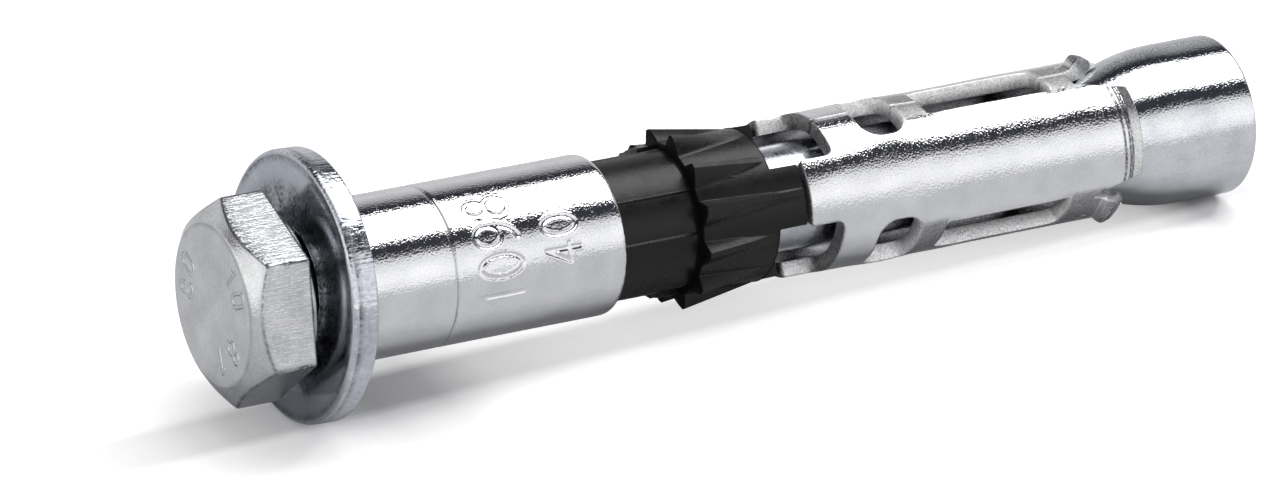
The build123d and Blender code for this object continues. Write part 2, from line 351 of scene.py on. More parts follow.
def finishMaterial(name, group, settings, metallic, bumpDepth, figures=None, figureDepth=0.0):
    # the group's pattern lies along the anchor's axis: object coordinates turned onto it, in millimetres
    material = bpy.data.materials.new(name)
    material.use_nodes = True
    tree = material.node_tree
    shader = tree.nodes["Principled BSDF"]
    shader.inputs["Metallic"].default_value = metallic
    coordinates = addNode(tree, "ShaderNodeTexCoord")
    lie = float(np.arctan2(-axisDir[2], axisDir[0]))
    turned = addNode(tree, "ShaderNodeMapping", {"vector_type": "TEXTURE"},
                     {"Location": axisStart, "Rotation": (0, lie, 0), "Scale": (mm, mm, mm)})
    tree.links.new(coordinates.outputs["Object"], turned.inputs["Vector"])
    pattern = addNode(tree, "ShaderNodeGroup", {"node_tree": group}, settings)
    tree.links.new(turned.outputs[0], pattern.inputs["Vector"])
    tree.links.new(pattern.outputs["Color"], shader.inputs["Base Color"])
    tree.links.new(pattern.outputs["Roughness"], shader.inputs["Roughness"])
    # the shade attribute darkens the colour: painted shade, and dark lines along edges
    if "Shade" in pattern.inputs:
        shade = addNode(tree, "ShaderNodeAttribute", {"attribute_name": "shade"})
        tree.links.new(shade.outputs["Fac"], pattern.inputs["Shade"])
    bump = addNode(tree, "ShaderNodeBump", values={"Distance": bumpDepth * mm})
    tree.links.new(pattern.outputs["Height"], bump.inputs["Height"])
    tree.links.new(bump.outputs[0], shader.inputs["Normal"])
    if figures:
        raised = addNode(tree, "ShaderNodeGroup", {"node_tree": figures})
        tree.links.new(turned.outputs[0], raised.inputs["Vector"])
        step = addNode(tree, "ShaderNodeBump", values={"Distance": figureDepth * mm})
        tree.links.new(raised.outputs["Height"], step.inputs["Height"])
        tree.links.new(step.outputs[0], bump.inputs["Normal"])
    return material


zincGroup = buildZincGroup()
shearGroup = buildShearGroup()
plasticGroup = buildPlasticGroup()

# plain figures round the head's face: each one its angle, its distance from the middle and its strokes,
# whose ends are given outwards and sideways in millimetres, with the radius of the outline round them
figureSizes = {
    "halfWidth": 0.15,
    "height": 0.14,
    "shapes": {
        "8": [((0.55, 0), (0.55, 0), 0.5), ((-0.6, 0), (-0.6, 0), 0.6)],
        "0": [((0.5, 0), (-0.5, 0), 0.6)],
        "1": [((1.1, 0), (-1.1, 0), 0.0), ((1.1, 0), (0.7, -0.4), 0.0)],
    },
    "places": [("8", -93, 5.1), ("0", -66, 5.3), ("1", 40, 5.5),
               ("0", 62, 5.4), ("8", 124, 5.0), ("1", 158, 4.9)],
}


def figureStrokes(sizes):
    # turns each figure's strokes to its angle, with its top outwards
    strokes = []
    for shape, degrees, distance in sizes["places"]:
        turn = np.radians(degrees + 90)
        for start, end, radius in sizes["shapes"][shape]:
            ends = [((out + distance) * np.cos(turn) - aside * np.sin(turn),
                     (out + distance) * np.sin(turn) + aside * np.cos(turn)) for out, aside in (start, end)]
            strokes.append((ends[0], ends[1], radius))
    return strokes


figureGroup = buildFigureGroup(figureStrokes(figureSizes), figureSizes["halfWidth"])
tubeZinc = finishMaterial("tubeZinc", zincGroup, {"Speckle Scale": 5.4, "Streak": 0.2}, 1.0, 0.021)
sleeveZinc = finishMaterial("sleeveZinc", zincGroup, {
    "Speckle Scale": 5.4, "Streak": 0.15, "Smooth": 0.04, "Dull": 0.08}, 1.0, 0.026)
coneZinc = finishMaterial("coneZinc", zincGroup, {
    "Speckle Scale": 5.4, "Streak": 0.2, "Pale": (0.83, 0.84, 0.855, 1),
    "Deep": (0.62, 0.645, 0.68, 1)}, 1.0, 0.018)
washerZinc = finishMaterial("washerZinc", zincGroup, {
    "Speckle Scale": 2.6, "Streak": 0.1, "Smooth": 0.1, "Dull": 0.17,
    "Pale": (0.56, 0.59, 0.64, 1), "Deep": (0.44, 0.465, 0.51, 1)}, 1.0, 0.006)
rimZinc = finishMaterial("rimZinc", zincGroup, {
    "Speckle Scale": 2.4, "Streak": 1.2, "Smooth": 0.08, "Dull": 0.24,
    "Pale": (0.72, 0.74, 0.785, 1), "Deep": (0.5, 0.52, 0.57, 1)}, 1.0, 0.04)
headZinc = finishMaterial("headZinc", zincGroup, {
    "Speckle Scale": 4.0, "Streak": 1.3, "Streak Scale": 7.0, "Smooth": 0.1, "Dull": 0.22,
    "Pale": (0.76, 0.765, 0.77, 1), "Deep": (0.58, 0.585, 0.595, 1)},
    1.0, 0.012, figureGroup, figureSizes["height"])
threadZinc = finishMaterial("threadZinc", zincGroup, {
    "Speckle Scale": 5.0, "Smooth": 0.16, "Dull": 0.3,
    "Pale": (0.6, 0.62, 0.66, 1), "Deep": (0.4, 0.415, 0.45, 1)}, 1.0, 0.01)
shearedZinc = finishMaterial("shearedZinc", shearGroup, {}, 0.8, 0.06)
blackPlastic = finishMaterial("blackPlastic", plasticGroup, {}, 0.0, 0.016)
mattPlastic = finishMaterial("mattPlastic", plasticGroup, {"Smooth": 0.5, "Dull": 0.7}, 0.0, 0.016)
for plastic, level in ((blackPlastic, 0.3), (mattPlastic, 0.1)):
    plastic.node_tree.nodes["Principled BSDF"].inputs["Specular IOR Level"].default_value = level
print("materials are ready")


# The bolt: head, shank and rolled thread in one closed surface

boltSizes = {
    "headHeight": 6.4,
    "acrossFlats": 16.8,
    "cornerRadius": 0.45,
    "cornerBunch": 0.42 / 1.3,
    "turn": -12.0,
    "faceDiameter": 14.8,
    "cornerDrop": 1.65,
    "ringDiameter": 15.6,
    "ringHeight": 0.4,
    "underBevel": 0.3,
    # how far each corner of the head's profile is rounded, from the middle of its face to the shank
    "headCuts": [0, 0.3, 0.22, 0.15, 0.1, 0.05, 0.1, 0.3, 0],
    "sideColumns": 28,
    "shankDiameter": 10.0,
    "threadLength": 33.0,
    "pitch": 1.5,
    "crestDiameter": 9.88,
    "rootDiameter": 8.16,
    "rootShare": 0.25,
    "flankShare": 0.625,
    "flankRound": 0.4,
    "runIn": 1.4,
    "endChamfer": 1.0,
    "threadStep": 0.125,
    # dark lines, each its strength and width
    "faceGrime": (0.5, 0.14),
    "chamferGrime": (1.3, 0.19),
    "cornerGrime": (1.1, 0.35),
    # how dark the painted shade on the flat on top is, how much more next to the chamfer, and how far from
    # it
    "scored": 0.62,
    "scoredEdge": 0.3,
    "scoredReach": 1.2,
    # painted shade on the shank inside the sleeve: how dark, and how far into the sleeve it starts
    "oil": 0.9,
    "oilPlace": 5.5,
}
boltEnd = nodeSpan("hex_bolt")[1][0]


def hexRadius(angle, apothem, cornerRadius, turn):
    # a ray's length to a hexagon: apothem / cos from the flat's middle, and near a corner
    # c cos e + sqrt(r^2 - (c sin e)^2), to the circle of radius r whose centre is c out on the corner's line
    fromFlat = np.abs((angle - turn) % (np.pi / 3) - np.pi / 6)
    fromCorner = np.pi / 6 - fromFlat
    centre = (apothem - cornerRadius) / np.cos(np.pi / 6)
    flat = apothem / np.cos(fromFlat)
    aside = centre * np.sin(fromCorner)
    arc = centre * np.cos(fromCorner) + np.sqrt(np.maximum(cornerRadius**2 - aside**2, 0))
    onArc = apothem * np.tan(fromFlat) > centre * np.sin(np.pi / 6)
    return np.where(onArc, arc, flat)


def threadRadius(station, angle, sizes, threadStart):
    # a ridge that climbs one pitch for each turn: with t = |2 (s / pitch - a / 2 pi) mod 1 - 1|, it rises
    # from the root to the crest as t passes the root's share, on a flank that is partly rounded
    phase = (station - threadStart) / sizes["pitch"] - angle / (2 * np.pi)
    fromRoot = np.abs(2 * (phase % 1) - 1) - sizes["rootShare"]
    ridge = easeLine(fromRoot, 0, sizes["flankShare"])
    ridge = easeStep(ridge, 0, 1) * sizes["flankRound"] + ridge * (1 - sizes["flankRound"])
    root, crest, shank = sizes["rootDiameter"] / 2, sizes["crestDiameter"] / 2, sizes["shankDiameter"] / 2
    depth = (crest - root) * (1 - ridge) + shank - crest
    return shank - depth * easeStep(station, threadStart, threadStart + sizes["runIn"] * sizes["pitch"])


def buildBolt(sizes):
    # a profile of stations and radii turned about the axis, with the hexagon's ray length for the head's
    # sides; the columns are drawn to the corners by a share of sin(pi u) on each side of a flat's middle
    corner = np.radians(sizes["turn"])
    side = np.linspace(-1, 1, sizes["sideColumns"] + 1)[:-1]
    bunched = side + sizes["cornerBunch"] * np.sign(side) * np.sin(np.pi * np.abs(side))
    angle = corner + np.pi / 6 + np.arange(6)[:, None] * np.pi / 3 + bunched * np.pi / 6
    angle = np.sort(angle.ravel() % (2 * np.pi))
    count = len(angle)
    outer = hexRadius(angle, sizes["acrossFlats"] / 2, sizes["cornerRadius"], corner)
    cornerReach = sizes["acrossFlats"] / 2 / np.cos(np.pi / 6)
    faceRadius, ringRadius = sizes["faceDiameter"] / 2, sizes["ringDiameter"] / 2
    shank = sizes["shankDiameter"] / 2
    chamfer = sizes["cornerDrop"] * np.maximum(outer - faceRadius, 0) / (cornerReach - faceRadius)
    under, bevel = sizes["headHeight"] - sizes["ringHeight"], sizes["underBevel"]
    chamferStart = boltEnd - sizes["endChamfer"]
    threadStart = boltEnd - sizes["threadLength"]
    head = roundProfile([
        (0.0, 0.0),
        (0.0, faceRadius),
        (chamfer, outer),
        (under - bevel, outer),
        (under, outer - 2 * bevel),
        (under, ringRadius),
        (sizes["headHeight"], ringRadius),
        (sizes["headHeight"], shank),
        (sizes["headHeight"] + 1.0, shank),
    ], count, sizes["headCuts"], 4)
    head = fillRows(head, 0.5)
    stations = np.concatenate([
        np.linspace(sizes["headHeight"] + 2.0, threadStart - 0.2, 30),
        np.arange(threadStart, chamferStart, sizes["threadStep"]),
        np.linspace(chamferStart, boltEnd, 9),
    ])[:, None]
    reach = threadRadius(stations, angle, sizes, threadStart)
    taper = sizes["crestDiameter"] / 2 - (stations - chamferStart)
    reach = np.minimum(reach, np.where(stations > chamferStart, taper, reach))
    shrink = np.array([0.97, 0.6, 0.0])[:, None]
    rows = np.concatenate([head, pairUp(stations, reach), pairUp(boltEnd, reach[-1] * shrink)])
    points = ringPoints(rows[..., 0], rows[..., 1], angle)
    faces = gridFaces(len(rows), count)
    zone = np.repeat(np.where(np.arange(len(rows) - 1) < len(head) - 1, 0, 1), count)
    # dark lines along the face's rim, along the chamfer's arcs and along the corners below them: above the
    # chamfer's end the distance to a corner is made large
    station, reach = rows[..., 0], rows[..., 1]
    toFace = np.hypot(station, reach - faceRadius)
    toChamfer = np.hypot(station - chamfer, reach - outer)
    toCorner = (outer.max() - reach) * 4 + 9.0 * (station < chamfer + 0.1)
    shade = bellLine(toFace, *sizes["faceGrime"]) + bellLine(toChamfer, *sizes["chamferGrime"])
    shade += bellLine(toCorner, *sizes["cornerGrime"]) * (station < under)
    shade *= 0.75 + 0.3 * unevenness(station, angle, 8, 2.0)
    # the flat on top is painted darker all over, most near its chamfer: painted shade that dims its
    # reflection of the light overhead, broken into dashes by the streaks
    fromTop = np.abs((np.degrees(angle) - sizes["turn"] - 30 + 180) % 360 - 180)
    scored = sizes["scored"] + sizes["scoredEdge"] * np.exp(-(station - chamfer) / sizes["scoredReach"])
    shade += (fromTop < 29) * scored * (station > chamfer)
    shade = np.clip(shade, 0, 1) * (station < under + 0.1)
    # inside the sleeve the shank is painted dark: painted shade where the sleeve hides it
    oilStart = nodeSpan("expansion_sleeve")[0][0] + sizes["oilPlace"]
    shade += sizes["oil"] * easeStep(station, oilStart, oilStart + 1)
    makePiece("hexBolt", points, faces, "bolt", "hex_bolt", [headZinc, threadZinc], zone,
              {"shade": shade})


buildBolt(boltSizes)


# The washer, leaning in its play

washerSizes = {
    "columns": 200,
    "bore": 11.0,
    "lean": 2.6,
    "solidEdge": 0.35,  # the edge radius of the CAD node, whose span gives the thickness
    "frontEdge": 0.6,
    "backEdge": 0.32,
    "boreEdge": 0.3,
    "rimWidth": 0.45,
    # painted shade on the face under the bolt's head: how dark, and from where to where it fades out
    "faceGrime": 0.85,
    "grimeReach": (8.6, 10.6),
    "edgeGrime": (0.8, 0.12),
}


def buildWasher(sizes):
    # a closed ring: the profile (s, r) is turned about the washer's own axis, which leans by w from the
    # anchor's, so that it lies at s cos w + r cos a sin w along and r cos a cos w - s sin w up
    low, high = nodeSpan("washer")
    centre = (low + high) / 2
    lean = np.radians(sizes["lean"])
    radius = (high[2] - low[2]) / 2
    leaning = (radius - sizes["solidEdge"]) * np.sin(lean) + sizes["solidEdge"] * (1 - np.cos(lean))
    thickness = (high[0] - low[0] - 2 * leaning) / np.cos(lean)
    count = sizes["columns"]
    angle = np.arange(count) * 2 * np.pi / count
    half, bore = thickness / 2, sizes["bore"] / 2
    middle = (bore + radius) / 2
    rows = roundProfile([
        (-half, middle), (-half, radius), (half, radius), (half, bore), (-half, bore), (-half, middle),
    ], count, [0, sizes["frontEdge"], sizes["backEdge"], sizes["boreEdge"], sizes["boreEdge"], 0], 5)
    rows = fillRows(rows, 0.6)[:-1]
    zone = np.repeat(rows.mean(1)[:, 1] > radius - sizes["rimWidth"], count)
    station, reach = rows[..., 0], rows[..., 1]
    up, front = reach * np.cos(angle), reach * np.sin(angle)
    local = np.stack([
        centre[0] + station * np.cos(lean) + up * np.sin(lean),
        centre[1] - station * np.sin(lean) + up * np.cos(lean),
        centre[2] + front,
    ], -1).reshape(-1, 3)
    points = axisStart + local @ axes * mm
    # painted shade on the face under the bolt's head, where it mirrors the dark gap, and a thin dark line on
    # both sides of the rounded front edge
    onFace = station < 0
    shade = sizes["faceGrime"] * (1 - easeStep(reach, *sizes["grimeReach"])) * onFace
    for lineAt, lineReach in ((-half, radius - sizes["frontEdge"]), (-half + sizes["frontEdge"], radius)):
        shade = shade + bellLine(np.hypot(station - lineAt, reach - lineReach), *sizes["edgeGrime"])
    shade = np.clip(shade * (0.85 + 0.3 * unevenness(station, angle, 4, 2.0)), 0, 1)
    makePiece("washerDisc", points, gridFaces(len(rows), count, ring=True), "washer", "washer",
              [washerZinc, rimZinc], zone, {"shade": shade})


buildWasher(washerSizes)


# The spacer tube with its depth mark and rolled-in plain numbers

tubeSizes = {
    "boreDiameter": 10.3,
    "edge": 0.6,
    "innerEdge": 0.2,
    "groovePlace": 10.3,
    "grooveWidth": 0.42,
    "grooveDepth": 0.16,
    "grooveGrime": (0.7, 0.09),
    "grooveStep": 0.06,
    "markFine": 0.1,
    "markDepth": 0.1,
    "markRaised": 0.3,
    "markHalfWidth": 0.27,
    # shares of the half width: from where a stroke's side rises, and where its raised border starts and ends
    "markSlope": 0.45,
    "markBorder": (0.7, 1.7),
    # the part that carries numbers: degrees round the tube, from and to, and millimetres along it
    "markedTurn": (-48, 54),
    "markedTo": 24.6,
    "columnStep": 2.6,
    "waviness": 0.012,
}
viewAngle = np.radians(64.4)  # the angle of the line that faces the camera

# each row of numbers: the text, its place along the tube, its height, and from where to where it goes round
numberRows = [
    {"text": "1098", "place": 14.736, "height": 4.3, "start": -42.0, "end": 46.0},
    {"text": "40", "place": 21.036, "height": 3.4, "start": -18.0, "end": 22.0},
]


def arcLine(centreX, centreY, reachX, reachY, start, end, count):
    # points of an ellipse's arc: the centre plus (reach cos t, reach sin t)
    turn = np.radians(np.linspace(start, end, count + 1))
    return np.stack([centreX + reachX * np.cos(turn), centreY + reachY * np.sin(turn)], -1)


def numberLines(figure):
    # the strokes of a figure in a cell 0.6 wide and 1 high, each a list of points
    lines = {
        "0": [arcLine(0.3, 0.5, 0.3, 0.5, 0, 360, 24)],
        "1": [np.array([(0.1, 0.78), (0.34, 1.0), (0.34, 0.0)])],
        "4": [np.array([(0.44, 0.0), (0.44, 1.0), (0.0, 0.3), (0.6, 0.3)])],
        "8": [arcLine(0.3, 0.76, 0.22, 0.24, 0, 360, 18), arcLine(0.3, 0.27, 0.29, 0.27, 0, 360, 20)],
        "9": [arcLine(0.3, 0.7, 0.28, 0.3, 0, 360, 20), arcLine(0.1, 0.62, 0.48, 0.62, -80, 8, 9)],
    }
    return lines[figure]


def strokeDistance(acrossText, upText, text, height, start, end):
    # distance of each place from the nearest stroke of the text, whose figures are spread from start to end:
    # to a line from p by d it is |q - p - d t|, with t = (q - p) . d / d . d held between 0 and 1
    nearest = np.full(acrossText.shape, 99.0)
    pitch = (end - start) / len(text)
    for number, figure in enumerate(text):
        for line in numberLines(figure):
            x = start + pitch * (number + 0.5) + (line[:, 0] - 0.3) * height * 0.8
            y = line[:, 1] * height
            for x1, y1, x2, y2 in zip(x[:-1], y[:-1], x[1:], y[1:]):
                dx, dy = x2 - x1, y2 - y1
                share = np.clip(((acrossText - x1) * dx + (upText - y1) * dy) / (dx * dx + dy * dy), 0, 1)
                gap = np.hypot(acrossText - x1 - dx * share, upText - y1 - dy * share)
                nearest = np.minimum(nearest, gap)
    return nearest


def buildTube(sizes):
    # radius r less the marks' depth and less the groove's d e^-(x / w)^2, over stations and angles; the
    # columns lie close together where the numbers are
    low, high = nodeSpan("spacer_sleeve")
    start, end, radius = low[0], high[0], (high[2] - low[2]) / 2
    bore = sizes["boreDiameter"] / 2
    fine = np.degrees(sizes["markFine"] / radius)
    first, last = sizes["markedTurn"]
    fromView = np.radians(np.concatenate([np.arange(first, last, fine),
                                          np.arange(last, 311, sizes["columnStep"])]))
    angle = viewAngle - fromView  # the numbers read upwards as the camera sees them
    count = len(angle)
    groove = start + sizes["groovePlace"]
    outside = roundProfile([
        (start + 0.8, bore), (start, bore), (start, radius), (end, radius), (end, bore), (end - 0.8, bore),
    ], count, [0, sizes["innerEdge"], sizes["edge"], sizes["edge"], sizes["innerEdge"], 0], 5)
    half = len(outside) // 2
    marked = np.concatenate([
        np.arange(start + 1.2, groove - 0.6, 0.8),
        np.arange(groove - 0.5, groove + 0.5, sizes["grooveStep"]),
        np.arange(groove + 0.6, start + sizes["markedTo"], sizes["markFine"]),
        np.arange(start + sizes["markedTo"] + 0.6, end - 1.0, 0.6),
    ])
    body = pairUp(marked[:, None], np.full(count, radius))
    bodyRows = slice(half, half + len(marked))
    rows = np.concatenate([outside[:half], body, outside[half:]])
    station, reach = rows[..., 0], rows[..., 1].copy()
    around = (viewAngle - angle) * radius
    width, (borderFrom, borderTo) = sizes["markHalfWidth"], sizes["markBorder"]
    mark = np.zeros(reach.shape)
    for row in numberRows:
        upText = start + row["place"] + row["height"] / 2 - station[bodyRows]
        first, last = np.radians(row["start"]) * radius, np.radians(row["end"]) * radius
        gap = strokeDistance(np.broadcast_to(around, upText.shape), upText + 0 * around, row["text"],
                             row["height"], first, last)
        pressed = 1 - easeStep(gap, width * sizes["markSlope"], width)
        raised = easeStep(gap, width * borderFrom, width) * (1 - easeStep(gap, width, width * borderTo))
        mark[bodyRows] += sizes["markDepth"] * (pressed - sizes["markRaised"] * raised)
    dip = bellLine(station[bodyRows] - groove, sizes["grooveDepth"], sizes["grooveWidth"] * 0.38)
    reach[bodyRows] -= mark[bodyRows] + dip
    reach[bodyRows] += sizes["waviness"] * unevenness(station[bodyRows], angle, 3, 9.0)
    points = ringPoints(station, reach, angle)
    inner = fillRows(np.stack([rows[-1], rows[0]]), 2.0)[1:-1]
    points = np.concatenate([points, ringPoints(inner[..., 0], inner[..., 1], angle)])
    faces = gridFaces(len(rows) + len(inner), count, ring=True)
    shade = np.zeros((len(rows) + len(inner), count))
    # painted shade in the groove, broken up a little
    shade[bodyRows] = bellLine(station[bodyRows] - groove, *sizes["grooveGrime"])
    shade[bodyRows] *= 0.7 + 0.3 * unevenness(station[bodyRows], angle, 6, 3.0)
    makePiece("spacerTube", points, faces, "spacer", "spacer_sleeve", [tubeZinc], None,
              {"shade": np.clip(shade, 0, 1)})


buildTube(tubeSizes)


# The plastic collar: neck with shallow lands and two lugs, saw-tooth ribs and three tongues

collarSizes = {
    "columnStep": 1.25,
    "bore": 10.3,
    "neckDiameter": 13.2,
    "neckLength": 7.9,
    "landStep": 0.15,
    "landLine": 0.05,
    "landCount": 4,
    "landAngle": 34.0,
    "landTurn": 44.4,
    "landEase": 0.7,
    "lugStart": 5.8,
    "lugHeight": 0.45,
    "lugs": [(-42.0, 25.0), (172.0, 25.0)],
    "bodyDiameter": 14.2,
    "bodyLength": 8.1,
    "ribRun": 8.4,
    "tongueRibRun": 10.8,
    "tongueReach": 0.3,
    "ribCount": 12,
    "ribHeight": 1.25,
    "ribCrest": 0.45,
    "ribSteep": 0.7,
    "ribGentle": 1.5,
    "ribTurn": 2.0,
    "tongueAngle": 46.0,
    "slotTurn": 4.0,
    "edge": 0.15,
    "ribSink": 0.12,
}


def ribShape(around, sizes, spread):
    # height share of the saw tooth at a distance round the collar from the middle of its crest
    steep = easeLine(around, -sizes["ribCrest"] / 2 - sizes["ribSteep"] * spread, -sizes["ribCrest"] / 2)
    gentle = 1 - easeLine(around, sizes["ribCrest"] / 2, sizes["ribCrest"] / 2 + sizes["ribGentle"] * spread)
    return np.minimum(steep, gentle)


def buildCollar(sizes):
    # a closed ring over stations and angles: the neck's radius has steps, lines and lugs, and the body's is
    # r + h (1 - x / run) times the saw tooth, whose flanks get narrower as the ribs run out
    low, high = nodeSpan("crush_collar")
    start, end = low[0], high[0]
    bodyStart = start + sizes["neckLength"]
    bodyEnd = bodyStart + sizes["bodyLength"]
    bore, neck, body = sizes["bore"] / 2, sizes["neckDiameter"] / 2, sizes["bodyDiameter"] / 2
    gapHalf = 60 - sizes["tongueAngle"] / 2
    jumps = [sizes["slotTurn"] + 120 * number + side * gapHalf for number in range(3) for side in (-1, 1)]
    jumps += [middle + side * half for middle, half in sizes["lugs"] for side in (-1, 1)]
    landPitch = 360 / sizes["landCount"]
    lands = [sizes["landTurn"] + landPitch * number + side * sizes["landAngle"]
             for number in range(sizes["landCount"]) for side in (0, 1)]
    ribs = [sizes["ribTurn"] + 360 / sizes["ribCount"] * number for number in range(sizes["ribCount"])]
    crest = np.degrees(sizes["ribCrest"] / body / 2)
    flank = np.linspace(-crest - np.degrees(sizes["ribSteep"] / body), -crest, 13)
    tooth = np.append(flank, [0.2 - crest, crest - 0.2, crest, crest + 0.2])
    angle = np.concatenate([np.arange(0, 360, sizes["columnStep"])]
                           + [jump + np.array([-0.25, -0.02, 0.02, 0.25]) for jump in jumps]
                           + [rib + tooth for rib in ribs]
                           + [np.linspace(land - 1.4, land + 1.4, 15) for land in lands])
    angle = np.radians(np.unique(np.round(angle % 360, 4)))
    count = len(angle)
    degrees = np.degrees(angle)
    fromSlot = np.abs((degrees - sizes["slotTurn"] + 60) % 120 - 60)
    tongue = fromSlot > gapHalf
    finish = np.where(tongue, end + sizes["tongueReach"], bodyEnd)
    # the neck: a step at each edge of a land with a fine raised line on it, and the lugs next to the ribs
    landMiddle = sizes["landTurn"] + sizes["landAngle"] / 2
    fromMiddle = np.abs((degrees - landMiddle + landPitch / 2) % landPitch - landPitch / 2)
    fromEdge = fromMiddle - sizes["landAngle"] / 2
    neckReach = neck - sizes["landStep"] * (1 - easeStep(fromEdge, -sizes["landEase"], sizes["landEase"]))
    neckReach = neckReach + bellLine(fromEdge - 0.5, sizes["landLine"], 0.5)
    fromLug = np.min([np.abs((degrees - middle + 180) % 360 - 180) - half
                      for middle, half in sizes["lugs"]], axis=0)
    front = roundProfile([
        (start + 0.6, bore), (start, bore), (start, neckReach), (bodyStart, neckReach),
    ], count, [0, 0.1, sizes["edge"], 0], 3)
    lugStart = start + sizes["lugStart"]
    stations = np.concatenate([
        np.arange(start + 0.6, lugStart - 0.2, 0.8),
        lugStart + np.array([-0.1, -0.03, 0.0, 0.03, 0.1, 0.3]),
        np.arange(lugStart + 0.7, bodyStart - 0.1, 0.5),
        [bodyStart - 0.08, bodyStart],
    ])[:, None]
    lug = sizes["lugHeight"] * (1 - easeStep(fromLug, -0.02, 0.02))
    lug = lug * easeStep(stations, lugStart - 0.05, lugStart + 0.05)
    front = np.concatenate([front[:-1], pairUp(stations, neckReach + lug)])
    along = np.concatenate([[0.0, 0.03, 0.1, 0.2], np.linspace(0.4, sizes["bodyLength"] - 0.1, 26)])
    pitch = 2 * np.pi / sizes["ribCount"]
    around = ((angle - np.radians(sizes["ribTurn"]) + pitch / 2) % pitch - pitch / 2) * body
    run = np.where(tongue, sizes["tongueRibRun"], sizes["ribRun"])
    share = easeLine(run - along[:, None], 0, run)
    # the ribs start a little under the body's surface, and their front edges are broken
    sink = sizes["ribSink"]
    crown = body - sink + (sizes["ribHeight"] + sink) * share * ribShape(around, sizes, 0.2 + 0.8 * share)
    crown = np.maximum(crown, body)
    crown[0] = body - 0.04
    crown[1] = crown[2] - 0.12 * (crown[2] > body + 0.2)
    ribRows = pairUp((bodyStart + along)[:, None], crown)
    # on the tongues the ribs run on to nothing
    tailReach = np.where(tongue, np.maximum(body, crown[-1] - 0.25), crown[-1] - 0.05)
    back = roundProfile([
        (bodyEnd - 0.05, crown[-1]), (finish, tailReach), (finish, bore), (bodyEnd - 1.0, bore),
    ], count, [0, 0.1, 0.1, 0], 3)
    inner = fillRows(np.stack([back[-1], front[0]]), 1.5)[1:-1]
    rows = np.concatenate([front, ribRows, back, inner])
    points = ringPoints(rows[..., 0], rows[..., 1], angle)
    # the ribs' front is matt
    place = np.arange(len(rows))
    matt = np.repeat((place >= len(front) - 3) & (place < len(front) + 2), count)
    makePiece("plasticCollar", points, gridFaces(len(rows), count, ring=True), "sleeve", "crush_collar",
              [blackPlastic, mattPlastic], matt)


buildCollar(collarSizes)


# The expansion sleeve, rolled from punched sheet: worked out flat, then wrapped round the axis

sleeveSizes = {
    "diameter": 14.76,
    "sheet": 1.48,
    "turn": 4.0,
    "tongueAngle": 50.0,
    "tongueLength": 3.5,
    "windowRadius": 0.8,
    "tongueRadius": 0.35,
    "keyholeStart": 7.5,
    "keyholeLength": 4.6,
    "keyholeWidth": 7.2,
    "keyholeRadius": 1.9,
    "slotStart": 14.9,
    "slotLength": 13.4,
    "slotWidth": 4.1,
    "slotRadius": 0.6,
    "webLength": 2.8,
    "webRecess": 0.08,
    "webSide": (1.9, 2.9),
    "lipKnob": 0.26,
    "lipKnobRun": (1.3, 2.3),
    "lipTip": 0.8,
    "lipThin": 0.88,
    "lipWidth": 3.1,
    "lipRadius": 0.7,
    "lipLength": 3.0,
    "lipBend": 3.4,
    "lipAngle": 58.0,
    "sideGap": 0.19,
    "cornerCut": 1.1,
    "endLength": 2.0,
    "endDrop": 0.65,
    "coneSlope": 18.8,
    "seam": 0.35,
    "edge": 0.12,
    "step": 0.2,
    "fineStep": 0.08,
    # turned lines near the segments' ends: each its place and depth, and the width of all
    "endLines": [(-0.3, 0.07), (0.3, 0.09), (0.6, 0.06)],
    "endLineWidth": 0.1,
    "grainFrom": 0.75,
    "keyholeRaise": 0.13,
    "keyholeSpread": 2.8,
    "waviness": (0.012, 0.03),
    # darkening: painted shade on the punched walls and at the window's end, a dark line along the punched
    # edges, painted shade per depth of a turned line, darker lips' ends, and painted shade on the bridges,
    # on top of the tapered ends and inside
    "wallGrime": 0.95,
    "windowGrime": 0.85,
    "borderGrime": 0.6,
    "lineGrime": 20.0,
    "lipGrime": 0.75,
    "webGrime": 0.68,
    "topGrime": 1.25,
    "topMiddle": 30.0,
    "topSpread": 22.0,
    "insideGrime": 0.75,
}
sleeveStart = nodeSpan("expansion_sleeve")[0][0]
sleeveLength = nodeSpan("expansion_sleeve")[1][0] - sleeveStart


def boxDistance(x, y, halfX, halfY, radius):
    # signed distance from a rectangle with round corners, negative inside it: with p = |place| - half + r,
    # |max(p, 0)| + min(max(px, py), 0) - r
    overX, overY = np.abs(x) - halfX + radius, np.abs(y) - halfY + radius
    corner = np.hypot(np.maximum(overX, 0), np.maximum(overY, 0))
    return corner + np.minimum(np.maximum(overX, overY), 0) - radius


def roundCorner(toEnd, toSide, radius):
    # the lesser distance, and inside the square of an outer corner the distance to the corner's circle
    corner = radius - np.hypot(np.maximum(radius - toEnd, 0), np.maximum(radius - toSide, 0))
    return np.minimum(np.minimum(toEnd, toSide), corner)


def foldThirds(around, sizes):
    # the third of the sheet that a place round it lies in, and the distance from that third's slot line
    pitch = np.pi * sizes["diameter"] / 3
    third = np.floor(around / pitch + 0.5)
    return third, around - third * pitch


def punchedEnds(sizes):
    # where the keyholes, the slots and the bridges behind the slots end
    slotEnd = sizes["slotStart"] + sizes["slotLength"]
    return sizes["keyholeStart"] + sizes["keyholeLength"], slotEnd, slotEnd + sizes["webLength"]


